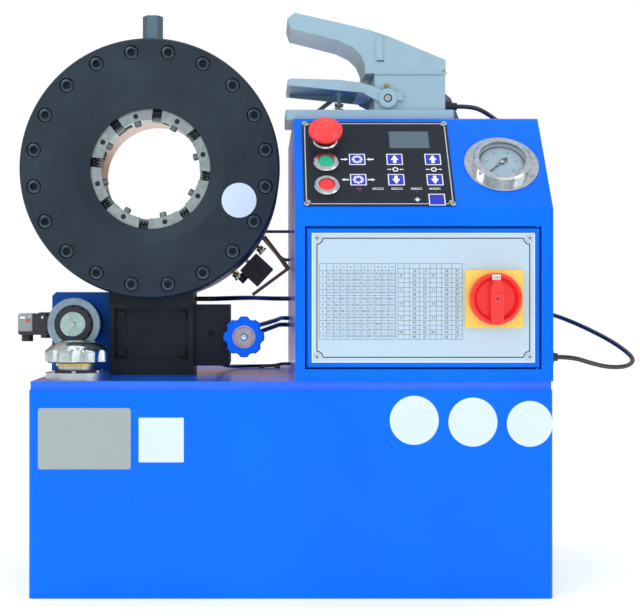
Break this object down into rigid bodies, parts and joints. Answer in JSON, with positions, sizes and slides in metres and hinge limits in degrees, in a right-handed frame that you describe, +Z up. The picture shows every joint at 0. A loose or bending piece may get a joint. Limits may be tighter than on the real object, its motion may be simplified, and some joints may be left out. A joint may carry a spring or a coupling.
{
  "type": "hose crimping machine",
  "caption": "Bench hose crimper: oil tank with power unit, round radial-die crimping head, sloping control cabinet and corded foot pedal.",
  "frame": {"origin": "middle of the tank's underside", "axes": "+X to the operator's right, +Y away from the operator along the crimping bore, +Z up"},
  "size_m": [0.7501, 0.5046, 0.6969],
  "materials": {
    "blue_paint": "gloss powder coat",
    "dark_steel": "black phosphate",
    "bolt_steel": "black oxide",
    "die_steel": "ground",
    "piston_steel": "turned",
    "zinc_steel": "zinc plated",
    "valve_paint": "semi-gloss",
    "coil_plastic": "moulded",
    "plug_plastic": "translucent moulding",
    "black_plastic": "moulded",
    "gear_plastic": "moulded",
    "chrome": "polished",
    "plate_aluminium": "anodised",
    "yellow_plastic": "moulded",
    "red_plastic": "moulded",
    "green_plastic": "moulded",
    "dial_white": "printed",
    "gauge_glass": "clear",
    "needle_black": "matt",
    "pedal_paint": "painted casting",
    "bail_steel": "polished",
    "bracket_brass": "dull",
    "wheel_plastic": "moulded",
    "pipe_black": "coated",
    "cable_rubber": "gloss sheath",
    "pump_iron": "cast",
    "strainer_steel": "woven"
  },
  "bodies": {
    "machine": {"tank_body": "blue_paint", "tank_lid": "blue_paint", "service_panel": "blue_paint", "cabinet_shell": "blue_paint", "front_cover": "dark_steel", "head_cylinder": "dark_steel", "foot_block": "dark_steel", "foot_screws": "dark_steel", "port_block": "dark_steel", "needle_valve": "dark_steel", "door_pivots": "dark_steel", "head_bolts": "bolt_steel", "lifting_nut": "zinc_steel", "panel_screws": "zinc_steel", "filler_neck": "zinc_steel", "directional_valve": "valve_paint", "solenoid_coils": "coil_plastic", "solenoid_nuts": "coil_plastic", "din_plugs": "plug_plastic", "keypad_panel": "black_plastic", "limit_switch": "black_plastic", "cord_glands": "black_plastic", "control_gear": "gear_plastic", "button_bezels": "chrome", "gauge_case": "chrome", "gauge_dial": "dial_white", "gauge_glass": "gauge_glass", "pedal_base": "pedal_paint", "pedal_hood": "pedal_paint", "switch_bracket": "bracket_brass", "oil_pipes": "pipe_black", "hoses_and_cables": "cable_rubber", "pedal_cord": "cable_rubber", "electric_motor": "pump_iron", "gear_pump": "pump_iron", "suction_strainer": "strainer_steel"},
    "piston": {"piston": "piston_steel"},
    "die_1_body": {"die_1": "die_steel"},
    "die_2_body": {"die_2": "die_steel"},
    "die_3_body": {"die_3": "die_steel"},
    "die_4_body": {"die_4": "die_steel"},
    "die_5_body": {"die_5": "die_steel"},
    "die_6_body": {"die_6": "die_steel"},
    "die_7_body": {"die_7": "die_steel"},
    "die_8_body": {"die_8": "die_steel"},
    "handwheel": {"handwheel": "wheel_plastic"},
    "override_pin": {"override_pin": "chrome"},
    "filler_cap": {"filler_cap": "chrome"},
    "door": {"cabinet_door": "blue_paint", "size_plate": "plate_aluminium", "isolator_switch": "yellow_plastic"},
    "isolator_knob": {"isolator_knob": "red_plastic"},
    "estop_stem": {"estop_stem": "chrome"},
    "estop_button": {"estop_button": "red_plastic"},
    "start_button": {"start_button": "green_plastic"},
    "stop_button": {"stop_button": "red_plastic"},
    "gauge_needle": {"gauge_needle": "needle_black"},
    "limit_plunger": {"limit_plunger": "bracket_brass"},
    "treadle": {"pedal_treadle": "pedal_paint"},
    "bail": {"pedal_bail": "bail_steel"}
  },
  "joints": [
    {"name": "piston_stroke", "type": "slide", "parent": "machine", "child": "piston", "axis": [0, -1, 0], "range_m": [0, 0.0347]},
    {"name": "die_1_slide", "type": "slide", "parent": "machine", "child": "die_1_body", "axis": [-0.4924, 0, -0.8704], "range_m": [0, 0.0144]},
    {"name": "die_2_slide", "type": "slide", "parent": "machine", "child": "die_2_body", "axis": [-0.9636, 0, -0.2672], "range_m": [0, 0.0144]},
    {"name": "die_3_slide", "type": "slide", "parent": "machine", "child": "die_3_body", "axis": [-0.8704, 0, 0.4924], "range_m": [0, 0.0144]},
    {"name": "die_4_slide", "type": "slide", "parent": "machine", "child": "die_4_body", "axis": [-0.2672, 0, 0.9636], "range_m": [0, 0.0144]},
    {"name": "die_5_slide", "type": "slide", "parent": "machine", "child": "die_5_body", "axis": [0.4924, 0, 0.8704], "range_m": [0, 0.0144]},
    {"name": "die_6_slide", "type": "slide", "parent": "machine", "child": "die_6_body", "axis": [0.9636, 0, 0.2672], "range_m": [0, 0.0144]},
    {"name": "die_7_slide", "type": "slide", "parent": "machine", "child": "die_7_body", "axis": [0.8704, 0, -0.4924], "range_m": [0, 0.0144]},
    {"name": "die_8_slide", "type": "slide", "parent": "machine", "child": "die_8_body", "axis": [0.2672, 0, -0.9636], "range_m": [0, 0.0144]},
    {"name": "handwheel_turn", "type": "hinge", "parent": "machine", "child": "handwheel", "pos_m": [-0.0552, -0.09, 0.2964], "axis": [0, -1, 0], "range_deg": [0, 720]},
    {"name": "override_push", "type": "slide", "parent": "machine", "child": "override_pin", "axis": [0, 1, 0], "range_m": [0, 0.0025], "stiffness_N_per_m": 600},
    {"name": "filler_cap_turn", "type": "hinge", "parent": "machine", "child": "filler_cap", "pos_m": [-0.25, -0.17, 0.28], "axis": [0, 0, 1], "range_deg": [0, 90]},
    {"name": "door_swing", "type": "hinge", "parent": "machine", "child": "door", "pos_m": [0.2822, -0.212, 0.344], "axis": [0, 0, 1], "range_deg": [0, 95]},
    {"name": "isolator_turn", "type": "hinge", "parent": "door", "child": "isolator_knob", "pos_m": [0.2317, -0.222, 0.3428], "axis": [0, 1, 0], "range_deg": [-90, 0]},
    {"name": "estop_push", "type": "slide", "parent": "machine", "child": "estop_stem", "axis": [0, 0.7789, -0.6272], "range_m": [0, 0.005], "stiffness_N_per_m": 500},
    {"name": "estop_twist", "type": "hinge", "parent": "estop_stem", "child": "estop_button", "pos_m": [0.042, -0.14789, 0.52884], "axis": [0, 0.7789, -0.6272], "range_deg": [0, 30], "stiffness_Nm_per_rad": 0.05},
    {"name": "start_push", "type": "slide", "parent": "machine", "child": "start_button", "axis": [0, 0.7789, -0.6272], "range_m": [0, 0.0035], "stiffness_N_per_m": 500},
    {"name": "stop_push", "type": "slide", "parent": "machine", "child": "stop_button", "axis": [0, 0.7789, -0.6272], "range_m": [0, 0.0035], "stiffness_N_per_m": 500},
    {"name": "gauge_needle_turn", "type": "hinge", "parent": "machine", "child": "gauge_needle", "pos_m": [0.248, -0.17499, 0.50316], "axis": [0, 0.7789, -0.6272], "range_deg": [0, 270]},
    {"name": "limit_plunger_push", "type": "slide", "parent": "machine", "child": "limit_plunger", "axis": [0.7314, 0, -0.682], "range_m": [0, 0.002], "stiffness_N_per_m": 300},
    {"name": "treadle_press", "type": "hinge", "parent": "machine", "child": "treadle", "pos_m": [0.12, -0.059, 0.587], "axis": [0, -1, 0], "range_deg": [0, 8], "stiffness_Nm_per_rad": 4, "springref_deg": -11.46},
    {"name": "bail_swing", "type": "hinge", "parent": "machine", "child": "bail", "pos_m": [0.1, 0.001, 0.568], "axis": [-1, 0, 0], "range_deg": [0, 85]}
  ],
  "couplings": [
    {"joint": "die_1_slide", "follows": "piston_stroke", "ratio": 0.414},
    {"joint": "die_2_slide", "follows": "piston_stroke", "ratio": 0.414},
    {"joint": "die_3_slide", "follows": "piston_stroke", "ratio": 0.414},
    {"joint": "die_4_slide", "follows": "piston_stroke", "ratio": 0.414},
    {"joint": "die_5_slide", "follows": "piston_stroke", "ratio": 0.414},
    {"joint": "die_6_slide", "follows": "piston_stroke", "ratio": 0.414},
    {"joint": "die_7_slide", "follows": "piston_stroke", "ratio": 0.414},
    {"joint": "die_8_slide", "follows": "piston_stroke", "ratio": 0.414}
  ]
}
